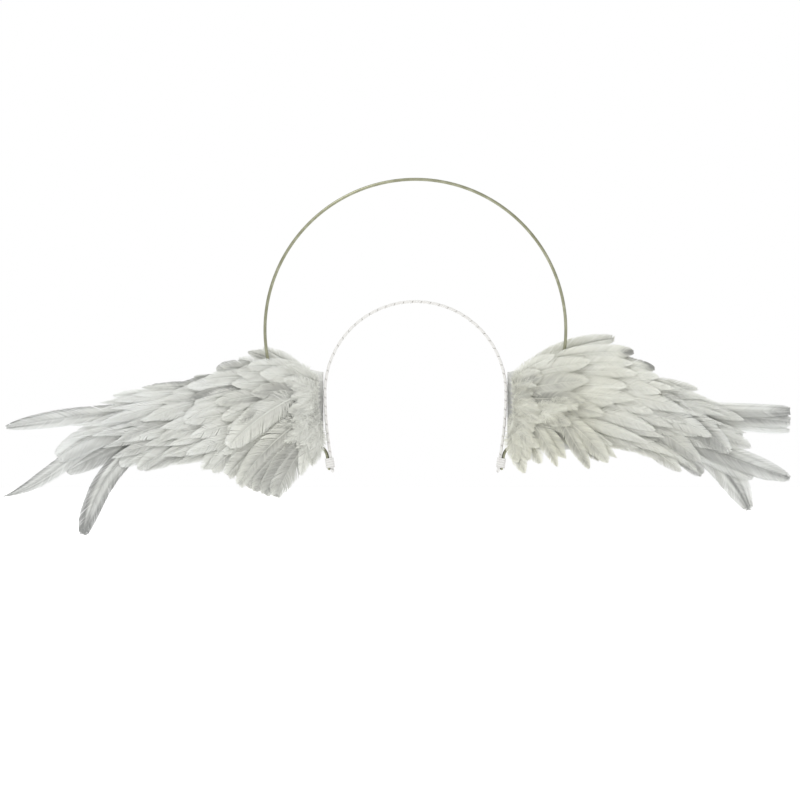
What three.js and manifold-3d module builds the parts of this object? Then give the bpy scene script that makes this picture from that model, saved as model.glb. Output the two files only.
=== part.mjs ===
// Halo headband: a bound steel headband that carries a gold wire halo and two feather wings.
// Millimetres. +X runs to the right wing, -Y faces the viewer, +Z is up.
// The origin is the middle of the headband's inner face at the crown, where it sits on the head.

import * as THREE from 'three';
import { mergeVertices } from 'three/addons/utils/BufferGeometryUtils.js';
import Module from 'manifold-3d';

const wasm = await Module();
wasm.setup();

// Headband: a spring steel strip bound with ribbon
const BAND_RADIUS = 74;
const BAND_THICKNESS = 2.2;
const BAND_WIDTH = 8;
const LEG_BEND_RADIUS = 300;
const LEG_BEND_ANGLE = THREE.MathUtils.degToRad(8.4);
const LEG_MARGIN = 2.5;
const ARCH_SEGMENTS = 36;
const LEG_SEGMENTS = 4;

// Halo: one wire ring whose two tails run down the outside of the headband's legs
const HALO_RADIUS = 125;
const HALO_DROP = 22.2;
const HALO_WIRE = 2.6;
const HALO_FILLET = 10;
const HALO_TAIL = 12;
const HALO_STEPS = 88;
const WIRE_SIDES = 8;

// Binding: the sleeve that holds each tail of the halo to its leg
const BINDING_LENGTH = 8;
const BINDING_WALL = 0.8;

// Wings: lengths below that are shares are shares of WING_LENGTH
const WING_LENGTH = 266;
const WING_DROP = 80;
const WING_SWEEP = 45;
const SWEEP_START = 130;
const PAD_THICKNESS = 1.8;
const ROW_THICKNESS = 1.5;
const FLIGHT_THICKNESS = 0.9;
const FLIGHT_LAYERS = 4;
const FEATHER_GAP = 0.35;
const EDGE_LIFT = 0.25;
const TAPE_WIDTH = 9;
const TAPE_MARGIN = 1.6;
const TAPE_INSET = 0.1;
const TAPE_THICKNESS = 1.2;
const PLAY = 0.3;

// Where the rows of feathers are glued: each row starts one step further out than the last,
// and its line of quills slopes back to the root below the wing's arm
const FIRST_ROW = 0.12;
const ROW_STEP = 0.08;
const QUILL_SLOPE = 0.9;
const ARM_BEND = 0.08;
const ROOT_MARGIN = 0.012;
const SINK_END = 0.42;
const TAPE_STATIONS = 5;
const ROOT_TAPE = { top: 0.078, bottom: -0.117, inner: 0.007, width: 0.088 };
const ROW_BOW = 0.03;
const TANGENT_STEP = 0.01;

// Half width of a feather along its length, as a share of its widest half. Column rise says how
// much of the way it has come from the pad, where its quill is glued, to its own layer.
const COVERT_SHAPE = [
  { along: 0.00, width: 0.22, rise: 1 },
  { along: 0.22, width: 0.80, rise: 1 },
  { along: 0.52, width: 1.00, rise: 1 },
  { along: 0.84, width: 0.80, rise: 1 },
  { along: 1.00, width: 0.14, rise: 1 },
];
const FLIGHT_SHAPE = [
  { along: 0.00, width: 0.16, rise: 0 },
  { along: 0.12, width: 0.24, rise: 1 },
  { along: 0.28, width: 0.84, rise: 1 },
  { along: 0.52, width: 1.00, rise: 1 },
  { along: 0.78, width: 0.92, rise: 1 },
  { along: 0.93, width: 0.56, rise: 1 },
  { along: 1.00, width: 0.08, rise: 1 },
];

// Felt pad behind the feathers, from the headband outwards
const PAD_STATIONS = [
  { out: 0.000, top: 0.085, bottom: -0.140 },
  { out: 0.060, top: 0.098, bottom: -0.155 },
  { out: 0.130, top: 0.100, bottom: -0.160 },
  { out: 0.200, top: 0.092, bottom: -0.158 },
  { out: 0.270, top: 0.074, bottom: -0.150 },
  { out: 0.340, top: 0.048, bottom: -0.142 },
  { out: 0.410, top: 0.018, bottom: -0.134 },
  { out: 0.470, top: -0.008, bottom: -0.124 },
  { out: 0.520, top: -0.034, bottom: -0.104 },
];

// Rows of coverts in front of the pad, innermost first. The quills run from quillTop to
// quillBottom, and the tips follow a curve drawn from its top end, its pull and its bottom end.
const FRONT_ROWS = {
  left: [
    { name: 'lesser', count: 6, widthTop: 0.060, widthBottom: 0.074, quillTop: 0.100, quillBottom: -0.130,
      tips: [[0.235, 0.132], [0.390, -0.030], [0.225, -0.283]] },
    { name: 'median', count: 6, widthTop: 0.058, widthBottom: 0.072, quillTop: 0.085, quillBottom: -0.130,
      tips: [[0.335, 0.096], [0.520, -0.050], [0.305, -0.215]] },
    { name: 'greater', count: 6, widthTop: 0.052, widthBottom: 0.068, quillTop: 0.048, quillBottom: -0.130,
      tips: [[0.450, 0.044], [0.630, -0.060], [0.380, -0.210]] },
    { name: 'secondary', count: 6, widthTop: 0.048, widthBottom: 0.062, quillTop: 0.022, quillBottom: -0.130,
      tips: [[0.565, 0.026], [0.770, -0.080], [0.460, -0.203]] },
    { name: 'outer', count: 6, widthTop: 0.048, widthBottom: 0.058, quillTop: -0.003, quillBottom: -0.130,
      tips: [[0.675, 0.000], [0.870, -0.120], [0.560, -0.220]] },
  ],
  right: [
    { name: 'lesser', count: 6, widthTop: 0.058, widthBottom: 0.066, quillTop: 0.118, quillBottom: -0.080,
      tips: [[0.393, 0.140], [0.420, 0.020], [0.110, -0.205]] },
    { name: 'median', count: 6, widthTop: 0.056, widthBottom: 0.066, quillTop: 0.105, quillBottom: -0.080,
      tips: [[0.460, 0.088], [0.560, -0.020], [0.245, -0.212]] },
    { name: 'greater', count: 6, widthTop: 0.052, widthBottom: 0.062, quillTop: 0.072, quillBottom: -0.090,
      tips: [[0.520, 0.050], [0.680, -0.030], [0.320, -0.188]] },
    { name: 'secondary', count: 6, widthTop: 0.050, widthBottom: 0.062, quillTop: 0.042, quillBottom: -0.105,
      tips: [[0.592, 0.016], [0.760, -0.100], [0.400, -0.152]] },
    { name: 'outer', count: 6, widthTop: 0.048, widthBottom: 0.060, quillTop: 0.004, quillBottom: -0.115,
      tips: [[0.680, -0.022], [0.880, -0.170], [0.500, -0.205]] },
  ],
};

// Rows behind the pad, outermost first. Column start is the row's place among the front rows.
const BACK_ROWS = {
  left: [
    { name: 'back_outer', start: 3.2, count: 6, widthTop: 0.052, widthBottom: 0.062, quillTop: 0.018,
      quillBottom: -0.120, tips: [[0.600, 0.012], [0.750, -0.100], [0.480, -0.200]] },
    { name: 'back_inner', start: 0.8, count: 6, widthTop: 0.058, widthBottom: 0.068, quillTop: 0.086,
      quillBottom: -0.120, tips: [[0.190, 0.158], [0.560, 0.030], [0.290, -0.215]] },
  ],
  right: [
    { name: 'back_outer', start: 3.2, count: 6, widthTop: 0.052, widthBottom: 0.062, quillTop: 0.024,
      quillBottom: -0.115, tips: [[0.610, -0.004], [0.780, -0.120], [0.490, -0.190]] },
    { name: 'back_inner', start: 0.8, count: 6, widthTop: 0.058, widthBottom: 0.066, quillTop: 0.100,
      quillBottom: -0.095, tips: [[0.335, 0.186], [0.580, 0.040], [0.280, -0.190]] },
  ],
};

// Feathers that cover the wing's root. Column bow lifts a feather's middle, as a share of its length.
const ROOT_FEATHERS = {
  left: [
    { base: [0.015, 0.065], tip: [0.125, 0.120], width: 0.050, bow: 0.03 },
    { base: [0.030, 0.050], tip: [0.200, 0.080], width: 0.060, bow: 0.04 },
    { base: [0.040, 0.020], tip: [0.225, 0.020], width: 0.064, bow: 0.03 },
    { base: [0.070, 0.000], tip: [0.260, -0.070], width: 0.066, bow: 0.05 },
    { base: [0.105, -0.010], tip: [0.298, -0.155], width: 0.074, bow: 0.04 },
    { base: [0.060, -0.060], tip: [0.272, -0.262], width: 0.066, bow: 0.05 },
    { base: [0.050, -0.090], tip: [0.205, -0.285], width: 0.064, bow: 0.05 },
    { base: [0.030, -0.110], tip: [0.135, -0.300], width: 0.062, bow: 0.04 },
    { base: [0.012, -0.050], tip: [0.070, -0.240], width: 0.056, bow: 0.02 },
  ],
  right: [
    { base: [0.015, 0.070], tip: [0.135, 0.130], width: 0.046, bow: 0.03 },
    { base: [0.040, 0.065], tip: [0.250, 0.115], width: 0.062, bow: 0.03 },
    { base: [0.040, 0.030], tip: [0.260, 0.060], width: 0.066, bow: 0.02 },
    { base: [0.050, 0.000], tip: [0.240, -0.010], width: 0.066, bow: 0.03 },
    { base: [0.050, -0.030], tip: [0.200, -0.080], width: 0.058, bow: 0.03 },
    { base: [0.080, -0.055], tip: [0.252, -0.222], width: 0.048, bow: 0.06 },
    { base: [0.085, -0.030], tip: [0.316, -0.198], width: 0.058, bow: 0.06 },
    { base: [0.060, -0.050], tip: [0.155, -0.212], width: 0.054, bow: 0.04 },
    { base: [0.030, -0.040], tip: [0.068, -0.188], width: 0.048, bow: -0.03 },
  ],
};

// Long flight feathers, one node each. Column layer is the feather's place in front of the pad.
const FLIGHTS = {
  left: [
    { base: [0.430, -0.012], tip: [0.998, -0.090], width: 0.050, bow: 0.012, layer: 3 },
    { base: [0.440, -0.035], tip: [0.825, -0.168], width: 0.070, bow: 0.065, layer: 2 },
    { base: [0.455, -0.062], tip: [1.000, -0.303], width: 0.048, bow: -0.004, layer: 1 },
    { base: [0.465, -0.084], tip: [0.805, -0.226], width: 0.062, bow: 0.025, layer: 0 },
    { base: [0.430, -0.096], tip: [0.640, -0.208], width: 0.055, bow: 0.030, layer: 3 },
    { base: [0.445, -0.108], tip: [0.760, -0.420], width: 0.052, bow: 0.130, layer: 2 },
    { base: [0.455, -0.126], tip: [0.712, -0.342], width: 0.044, bow: 0.095, layer: 1 },
  ],
  right: [
    { base: [0.430, -0.004], tip: [0.903, -0.044], width: 0.044, bow: 0.003, layer: 3 },
    { base: [0.440, -0.024], tip: [0.905, -0.074], width: 0.050, bow: 0.000, layer: 2 },
    { base: [0.455, -0.042], tip: [0.897, -0.098], width: 0.032, bow: 0.000, layer: 1 },
    { base: [0.470, -0.057], tip: [0.752, -0.122], width: 0.052, bow: 0.010, layer: 0 },
    { base: [0.430, -0.068], tip: [0.890, -0.243], width: 0.062, bow: 0.004, layer: 3 },
    { base: [0.440, -0.087], tip: [0.775, -0.250], width: 0.056, bow: 0.020, layer: 2 },
    { base: [0.455, -0.104], tip: [0.757, -0.350], width: 0.062, bow: 0.090, layer: 1 },
    { base: [0.465, -0.122], tip: [0.610, -0.243], width: 0.056, bow: 0.040, layer: 0 },
  ],
};

// Sizes that follow from those above
const SIDES = { left: -1, right: 1 };
const ROOT_X = BAND_RADIUS + BAND_THICKNESS + PLAY;
const WING_TIP_X = ROOT_X + WING_LENGTH;
const WIRE_ZONE = HALO_WIRE / 2 + PLAY;
const PAD_FRONT = WIRE_ZONE;
const PAD_BACK = PAD_FRONT + PAD_THICKNESS;
const FLIGHT_PITCH = FLIGHT_THICKNESS + FEATHER_GAP;
const ROW_PITCH = ROW_THICKNESS + FEATHER_GAP;
const FIRST_FLIGHT = PAD_FRONT - FEATHER_GAP;
const OUTERMOST_ROW = FIRST_FLIGHT - FLIGHT_LAYERS * FLIGHT_PITCH;
const GREATER_ROW = OUTERMOST_ROW - 2 * ROW_PITCH;
const GREATER_START = 0.15;

// Depth of the layers
function sweep(x) {
  const share = Math.max(0, (Math.abs(x) - SWEEP_START) / (WING_TIP_X - SWEEP_START));
  return WING_SWEEP * share * share;
}

// Near the root there are no flight feathers, so the front rows sink back until the greater
// coverts clear the wire of the halo
function sink(out) {
  if (out >= SINK_END) return 0;
  const fade = (share) => Math.cos(Math.PI / 2 * share / SINK_END) ** 2;
  return (-WIRE_ZONE - GREATER_ROW) / fade(GREATER_START) * fade(Math.max(0, out));
}

// Where a share point of a wing lies, at a depth in front of or behind the halo's plane
function place(side, out, up, depth, sinks) {
  const x = ROOT_X + out * WING_LENGTH;
  const y = depth + sweep(x) + (sinks ? sink(out) : 0);
  return [SIDES[side] * x, y, up * WING_LENGTH - WING_DROP];
}

function curvePoint([start, pull, end], t) {
  const mix = (axis) => (1 - t) ** 2 * start[axis] + 2 * t * (1 - t) * pull[axis] + t * t * end[axis];
  return [mix(0), mix(1)];
}

// Six times the volume that a list of triangles encloses, positive when they face outwards
function enclosed(points, index) {
  let total = 0;
  const corner = [0, 1, 2].map(() => new THREE.Vector3());
  for (let i = 0; i < index.length; i += 3) {
    corner.forEach((vector, k) => vector.fromArray(points[index[i + k]]));
    total += corner[0].dot(corner[1].cross(corner[2]));
  }
  return total;
}

// A closed solid lofted through rings of points, all with the same count
function loft(rings) {
  const sides = rings[0].length;
  const last = (rings.length - 1) * sides;
  const points = rings.flat();
  const index = [];
  for (let here = 0; here < last; here += sides) {
    for (let k = 0; k < sides; k += 1) {
      const next = (k + 1) % sides;
      index.push(here + k, here + next, here + sides + next);
      index.push(here + k, here + sides + next, here + sides + k);
    }
  }
  for (let k = 1; k < sides - 1; k += 1) {
    index.push(0, k + 1, k, last, last + k, last + k + 1);
  }
  if (enclosed(points, index) < 0) index.reverse();
  const geometry = new THREE.BufferGeometry();
  geometry.setAttribute('position', new THREE.Float32BufferAttribute(points.flat(), 3));
  geometry.setIndex(index);
  return geometry;
}

// One feather: a flat back, a ridge for the quill, and one edge lifted over its neighbour
function feather(side, { base, tip, width, bow }, shape, { seat, back, thickness, sinks }) {
  const run = [tip[0] - base[0], tip[1] - base[1]];
  const middle = [base[0] + run[0] / 2 - run[1] * bow * 2, base[1] + run[1] / 2 + run[0] * bow * 2];
  const line = [base, middle, tip];
  const rings = shape.map(({ along, width: share, rise }) => {
    const [out, up] = curvePoint(line, along);
    const ahead = curvePoint(line, Math.min(1, along + TANGENT_STEP));
    const behind = curvePoint(line, Math.max(0, along - TANGENT_STEP));
    const length = Math.hypot(ahead[0] - behind[0], ahead[1] - behind[1]);
    const across = [(behind[1] - ahead[1]) / length, (ahead[0] - behind[0]) / length];
    const depth = THREE.MathUtils.lerp(seat, back, rise);
    const edge = (half, lift) => place(side, out + across[0] * half, up + across[1] * half, depth - lift, sinks);
    const half = width / 2 * share;
    return [edge(half, EDGE_LIFT), edge(0, thickness), edge(-half, 0)];
  });
  return loft(rings);
}

function solid(geometry) {
  const bare = geometry.clone();
  bare.deleteAttribute('normal');
  bare.deleteAttribute('uv');
  const merged = mergeVertices(bare);
  return new wasm.Manifold(new wasm.Mesh({
    numProp: 3,
    vertProperties: new Float32Array(merged.attributes.position.array),
    triVerts: new Uint32Array(merged.index.array),
  }));
}

// Joins overlapping shapes into one body
function fuse(geometries) {
  const joined = geometries.map(solid).reduce((whole, piece) => whole.add(piece));
  const { vertProperties, triVerts } = joined.getMesh();
  const geometry = new THREE.BufferGeometry();
  geometry.setAttribute('position', new THREE.BufferAttribute(vertProperties, 3));
  geometry.setIndex(new THREE.BufferAttribute(triVerts, 1));
  return geometry;
}

// Quill line of a row: how far out a quill starts at a given height
function quillOut(start, up) {
  const slope = QUILL_SLOPE / 2 * (Math.hypot(up, ARM_BEND) - up);
  return Math.max(ROOT_MARGIN, FIRST_ROW + ROW_STEP * start - slope);
}

// Tape that quills are sewn to, from one height to another
function tape(side, top, bottom, outAt, width, back, sinks) {
  const behind = back - TAPE_INSET;
  const front = behind - TAPE_THICKNESS;
  const rings = Array.from({ length: TAPE_STATIONS }, (_, i) => {
    const up = THREE.MathUtils.lerp(top, bottom, i / (TAPE_STATIONS - 1));
    const out = outAt(up);
    return [
      place(side, out, up, behind, sinks),
      place(side, out + width, up, behind, sinks),
      place(side, out + width, up, front, sinks),
      place(side, out, up, front, sinks),
    ];
  });
  return loft(rings);
}

// A row's tape runs half a feather past its first and last quill
function rowTape(side, row, start, back, sinks) {
  const margin = (row.quillTop - row.quillBottom) / (row.count - 1) / 2;
  const outAt = (up) => quillOut(start, up) - TAPE_MARGIN / WING_LENGTH;
  const width = TAPE_WIDTH / WING_LENGTH;
  return tape(side, row.quillTop + margin, row.quillBottom - margin, outAt, width, back, sinks);
}

function rowFeathers(row, start) {
  return Array.from({ length: row.count }, (_, i) => {
    const t = i / (row.count - 1);
    const up = THREE.MathUtils.lerp(row.quillTop, row.quillBottom, t);
    return {
      base: [quillOut(start, up), up],
      tip: curvePoint(row.tips, t),
      width: THREE.MathUtils.lerp(row.widthTop, row.widthBottom, t),
      bow: ROW_BOW,
    };
  });
}

// Headband: an arch over the head and two legs that close in towards their ends
function legPoint(offset, sideways) {
  const radius = LEG_BEND_RADIUS + offset;
  const centre = BAND_RADIUS + BAND_THICKNESS / 2 - LEG_BEND_RADIUS;
  const x = centre + radius * Math.cos(LEG_BEND_ANGLE);
  const z = -BAND_RADIUS - radius * Math.sin(LEG_BEND_ANGLE);
  return new THREE.Vector2(
    x - Math.sin(LEG_BEND_ANGLE) * sideways,
    z - Math.cos(LEG_BEND_ANGLE) * sideways,
  );
}

function arcPoints(centre, radius, from, to, segments) {
  return Array.from({ length: segments + 1 }, (_, i) => {
    const angle = THREE.MathUtils.lerp(from, to, i / segments);
    return new THREE.Vector2(centre + radius * Math.cos(angle), -BAND_RADIUS + radius * Math.sin(angle));
  });
}

// One face of the strip, from the end of the right leg over the crown to the end of the left leg
function bandEdge(offset, legEnd) {
  const middle = BAND_RADIUS + BAND_THICKNESS / 2;
  const end = legPoint(offset, legEnd);
  const bend = arcPoints(middle - LEG_BEND_RADIUS, LEG_BEND_RADIUS + offset, -LEG_BEND_ANGLE, 0, LEG_SEGMENTS);
  const arch = arcPoints(0, middle + offset, 0, Math.PI, ARCH_SEGMENTS);
  const mirrored = [...bend].reverse().map((point) => new THREE.Vector2(-point.x, point.y));
  return [end, ...bend, ...arch.slice(1, -1), ...mirrored, new THREE.Vector2(-end.x, end.y)];
}

function headband(legEnd) {
  const half = BAND_THICKNESS / 2;
  const outline = new THREE.Shape([...bandEdge(half, legEnd), ...bandEdge(-half, legEnd).reverse()]);
  const geometry = new THREE.ExtrudeGeometry(outline, { depth: BAND_WIDTH, bevelEnabled: false });
  geometry.rotateX(Math.PI / 2);
  geometry.translate(0, BAND_WIDTH / 2, 0);
  return geometry;
}

// Halo: ring, fillet and tail joined end to end, the same on both sides
class HaloPath extends THREE.Curve {
  constructor() {
    super();
    const tailOffset = BAND_THICKNESS / 2 + PLAY + HALO_WIRE / 2;
    const start = legPoint(tailOffset, 0);
    const along = new THREE.Vector2(-Math.sin(LEG_BEND_ANGLE), -Math.cos(LEG_BEND_ANGLE));
    const outward = new THREE.Vector2(Math.cos(LEG_BEND_ANGLE), -Math.sin(LEG_BEND_ANGLE));
    const ring = new THREE.Vector2(0, -HALO_DROP);
    const from = start.clone().addScaledVector(outward, HALO_FILLET).sub(ring);
    const reach = HALO_RADIUS + HALO_FILLET;
    const dot = from.dot(along);
    const slide = -dot + Math.sqrt(dot * dot - from.lengthSq() + reach * reach);
    this.ring = ring;
    this.fillet = from.clone().addScaledVector(along, slide).add(ring);
    this.tangent = start.clone().addScaledVector(along, slide);
    this.along = along;
    this.tailMiddle = slide + HALO_TAIL / 2;
    this.ringAngle = Math.atan2(this.fillet.y - ring.y, this.fillet.x - ring.x);
    this.filletTurn = this.ringAngle + LEG_BEND_ANGLE;
    this.ringHalf = HALO_RADIUS * (Math.PI / 2 - this.ringAngle);
    this.filletLength = HALO_FILLET * Math.abs(this.filletTurn);
    this.half = this.ringHalf + this.filletLength + HALO_TAIL;
  }

  // Right half, measured from the top of the ring
  rightPoint(distance) {
    if (distance <= this.ringHalf) {
      const angle = Math.PI / 2 - distance / HALO_RADIUS;
      return new THREE.Vector2(Math.cos(angle), Math.sin(angle)).multiplyScalar(HALO_RADIUS).add(this.ring);
    }
    if (distance <= this.ringHalf + this.filletLength) {
      const share = (distance - this.ringHalf) / this.filletLength;
      const angle = this.ringAngle + Math.PI - this.filletTurn * share;
      return new THREE.Vector2(Math.cos(angle), Math.sin(angle)).multiplyScalar(HALO_FILLET).add(this.fillet);
    }
    return this.tangent.clone().addScaledVector(this.along, distance - this.ringHalf - this.filletLength);
  }

  getPoint(t, target = new THREE.Vector3()) {
    const distance = (2 * t - 1) * this.half;
    const point = this.rightPoint(Math.abs(distance));
    return target.set(Math.sign(distance || 1) * point.x, 0, point.y);
  }
}

function halo(path) {
  const section = new THREE.Shape();
  section.absarc(0, 0, HALO_WIRE / 2, 0, 2 * Math.PI, false);
  return new THREE.ExtrudeGeometry(section, {
    extrudePath: path, steps: HALO_STEPS, curveSegments: WIRE_SIDES / 2,
  });
}

// Binding: a flat sleeve round the leg and the tail, seen along the leg
function binding() {
  const inner = { low: -BAND_THICKNESS / 2 - PLAY, high: BAND_THICKNESS / 2 + HALO_WIRE + 2 * PLAY };
  const halfWidth = BAND_WIDTH / 2 + PLAY;
  const frame = (path, grow) => {
    path.moveTo(inner.low - grow, -halfWidth - grow);
    path.lineTo(inner.high + grow, -halfWidth - grow);
    path.lineTo(inner.high + grow, halfWidth + grow);
    path.lineTo(inner.low - grow, halfWidth + grow);
    path.closePath();
    return path;
  };
  const section = frame(new THREE.Shape(), BINDING_WALL);
  section.holes.push(frame(new THREE.Path(), 0));
  return new THREE.ExtrudeGeometry(section, { depth: BINDING_LENGTH, bevelEnabled: false });
}

function pad(side) {
  const rings = PAD_STATIONS.map(({ out, top, bottom }) => [
    place(side, out, top, PAD_BACK, false),
    place(side, out, top, PAD_FRONT, false),
    place(side, out, bottom, PAD_FRONT, false),
    place(side, out, bottom, PAD_BACK, false),
  ]);
  return loft(rings);
}

function named(name, geometry, material) {
  const mesh = new THREE.Mesh(geometry, material);
  mesh.name = name;
  return mesh;
}

const ribbon = new THREE.MeshStandardMaterial({ color: 0xf2f0ea, roughness: 0.55, metalness: 0 });
const gold = new THREE.MeshStandardMaterial({ color: 0xa8a27c, roughness: 0.35, metalness: 1 });
const felt = new THREE.MeshStandardMaterial({ color: 0xecebe6, roughness: 0.95, metalness: 0 });
const down = new THREE.MeshStandardMaterial({ color: 0xe2e3de, roughness: 0.8, metalness: 0 });

function wing(side) {
  const group = new THREE.Group();
  group.add(named(`${side}_pad`, pad(side), felt.clone()));
  FLIGHTS[side].forEach((row, i) => {
    const back = FIRST_FLIGHT - row.layer * FLIGHT_PITCH;
    const layer = { seat: FIRST_FLIGHT, back, thickness: FLIGHT_THICKNESS, sinks: false };
    group.add(named(`${side}_flight_${i + 1}`, feather(side, row, FLIGHT_SHAPE, layer), down.clone()));
  });
  const covert = (row, back, sinks) => (
    feather(side, row, COVERT_SHAPE, { seat: back, back, thickness: ROW_THICKNESS, sinks }));
  const addRow = (row, start, back, sinks) => {
    const feathers = rowFeathers(row, start).map((one) => covert(one, back, sinks));
    const shapes = [rowTape(side, row, start, back, sinks), ...feathers];
    group.add(named(`${side}_${row.name}`, fuse(shapes), down.clone()));
  };
  FRONT_ROWS[side].forEach((row, i) => {
    addRow(row, i, OUTERMOST_ROW - (FRONT_ROWS[side].length - 1 - i) * ROW_PITCH, true);
  });
  BACK_ROWS[side].forEach((row, i) => addRow(row, row.start, PAD_BACK + (i + 1) * ROW_PITCH, false));
  const rootBack = OUTERMOST_ROW - FRONT_ROWS[side].length * ROW_PITCH;
  const rootShapes = ROOT_FEATHERS[side].map((row) => covert(row, rootBack, true));
  const rootTape = tape(side, ROOT_TAPE.top, ROOT_TAPE.bottom, () => ROOT_TAPE.inner, ROOT_TAPE.width, rootBack, true);
  group.add(named(`${side}_root`, fuse([rootTape, ...rootShapes]), down.clone()));
  return group;
}

function boundTail(side, tailMiddle) {
  const foot = legPoint(0, tailMiddle + BINDING_LENGTH / 2);
  const mesh = named(`${side}_binding`, binding(), ribbon.clone());
  mesh.rotation.y = LEG_BEND_ANGLE;
  mesh.position.set(foot.x, 0, foot.y);
  const holder = new THREE.Group();
  holder.rotation.z = side === 'right' ? 0 : Math.PI;
  holder.add(mesh);
  return holder;
}

const group = new THREE.Group();
const haloPath = new HaloPath();
const legEnd = haloPath.tailMiddle + HALO_TAIL / 2 + LEG_MARGIN;
group.add(named('headband', headband(legEnd), ribbon.clone()));
group.add(named('halo', halo(haloPath), gold.clone()));
group.add(boundTail('left', haloPath.tailMiddle), boundTail('right', haloPath.tailMiddle));
group.add(wing('left'), wing('right'));

export default group;
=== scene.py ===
"""Looks of the halo headband: feathers with real barbs, a smooth gold wire and a ribbon-bound band.

Lengths are millimetres until a mesh is made, which turns them into metres with MM.
+X runs to the right wing, -Y faces the viewer, +Z is up, and the origin is the crown of the band.
"""

import math

import bpy
import numpy as np
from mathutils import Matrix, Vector


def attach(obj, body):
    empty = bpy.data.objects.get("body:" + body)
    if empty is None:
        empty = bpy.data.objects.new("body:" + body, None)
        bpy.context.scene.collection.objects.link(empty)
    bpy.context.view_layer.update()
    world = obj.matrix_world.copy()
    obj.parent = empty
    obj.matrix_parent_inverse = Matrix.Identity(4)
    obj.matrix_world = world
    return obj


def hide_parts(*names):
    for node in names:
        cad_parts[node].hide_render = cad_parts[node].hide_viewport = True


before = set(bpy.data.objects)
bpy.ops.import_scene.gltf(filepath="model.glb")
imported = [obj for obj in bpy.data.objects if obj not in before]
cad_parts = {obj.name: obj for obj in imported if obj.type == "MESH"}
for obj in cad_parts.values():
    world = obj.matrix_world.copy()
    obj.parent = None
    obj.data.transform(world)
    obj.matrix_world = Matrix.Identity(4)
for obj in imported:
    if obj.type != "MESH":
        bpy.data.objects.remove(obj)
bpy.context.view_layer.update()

MM = 0.001
BODY = "root"
SIGN = {"left": -1.0, "right": 1.0}

# Headband: an arch over the head and two legs that close in towards their ends
BAND_RADIUS = 74.0
BAND_THICKNESS = 2.2
BAND_WIDTH = 8.0
BAND_SIDES = 24
BAND_STATIONS = 1050
BAND_END_RADIUS = 1.4
BOX_POWER = 5
LEG_BEND_RADIUS = 300.0
LEG_BEND_ANGLE = math.radians(8.4)
LEG_MARGIN = 2.5
BAND_MIDDLE = BAND_RADIUS + BAND_THICKNESS / 2
PLAY = 0.3

# Halo: one wire ring whose two tails run down the outside of the legs
HALO_RADIUS = 125.0
HALO_DROP = 22.2
HALO_WIRE = 2.6
HALO_FILLET = 10.0
HALO_TAIL = 12.0
HALO_SIDES = 16
HALO_STATIONS = 640
HALO_END_STATIONS = 6
WIRE_END_LEAST = 1e-4

# Ribbon wound round the band, and the turns that hold each tail of the halo to its leg
RIBBON_PITCH = 7.5
RIBBON_LAP = 0.34
RIBBON_SINK = 0.12
LAP_EDGE = 0.05
LAP_CROWN = 0.35
SHADOW_START = 0.86
SHADOW_FADE = 0.10
BINDING_LENGTH = 8.0
BINDING_WALL = 0.8
BINDING_PITCH = 2.0
BINDING_LAP = 0.30
BINDING_SIDES = 48
BINDING_STATIONS = 65
BINDING_INSIDE_STATIONS = 7

# Wings: lengths given as shares are shares of WING_LENGTH
WING_LENGTH = 266.0
WING_DROP = 80.0
WING_SWEEP = 45.0
SWEEP_START = 130.0
ROOT_X = BAND_RADIUS + BAND_THICKNESS + PLAY
WING_TIP_X = ROOT_X + WING_LENGTH
WIRE_ZONE = HALO_WIRE / 2 + PLAY
PAD_THICKNESS = 1.8
FEATHER_GAP = 0.35
COVERT_THICKNESS = 1.5
FLIGHT_THICKNESS = 0.9
ROW_PITCH = COVERT_THICKNESS + FEATHER_GAP
FLIGHT_PITCH = FLIGHT_THICKNESS + FEATHER_GAP
FLIGHT_LAYERS = 4
LAST_ROW = 4
FLIGHT_SEAT = 0.4
PAD_FRONT = WIRE_ZONE
PAD_BACK = PAD_FRONT + PAD_THICKNESS
FIRST_FLIGHT = PAD_FRONT - FEATHER_GAP
OUTERMOST_ROW = FIRST_FLIGHT - FLIGHT_LAYERS * FLIGHT_PITCH
GREATER_ROW = OUTERMOST_ROW - 2 * ROW_PITCH
GREATER_START = 0.15
SINK_END = 0.42
FIRST_ROW = 0.12
ROW_STEP = 0.08
QUILL_SLOPE = 0.9
ARM_BEND = 0.08
ROOT_MARGIN = 0.012

# Felt pad behind the feathers
PAD_COLUMNS = 80
PAD_ROWS = 28
PAD_EDGE_ROWS = 6
PAD_SMOOTHING = 6
PAD_UNEVEN = 0.07
PAD_END_LEAST = 1e-3
# Columns: out, top, bottom
PAD_STATIONS = np.array([
    (0.000, 0.085, -0.140), (0.060, 0.098, -0.155), (0.130, 0.100, -0.160),
    (0.200, 0.092, -0.158), (0.270, 0.074, -0.150), (0.340, 0.048, -0.142),
    (0.410, 0.018, -0.134), (0.470, -0.008, -0.124), (0.520, -0.034, -0.104),
])

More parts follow.
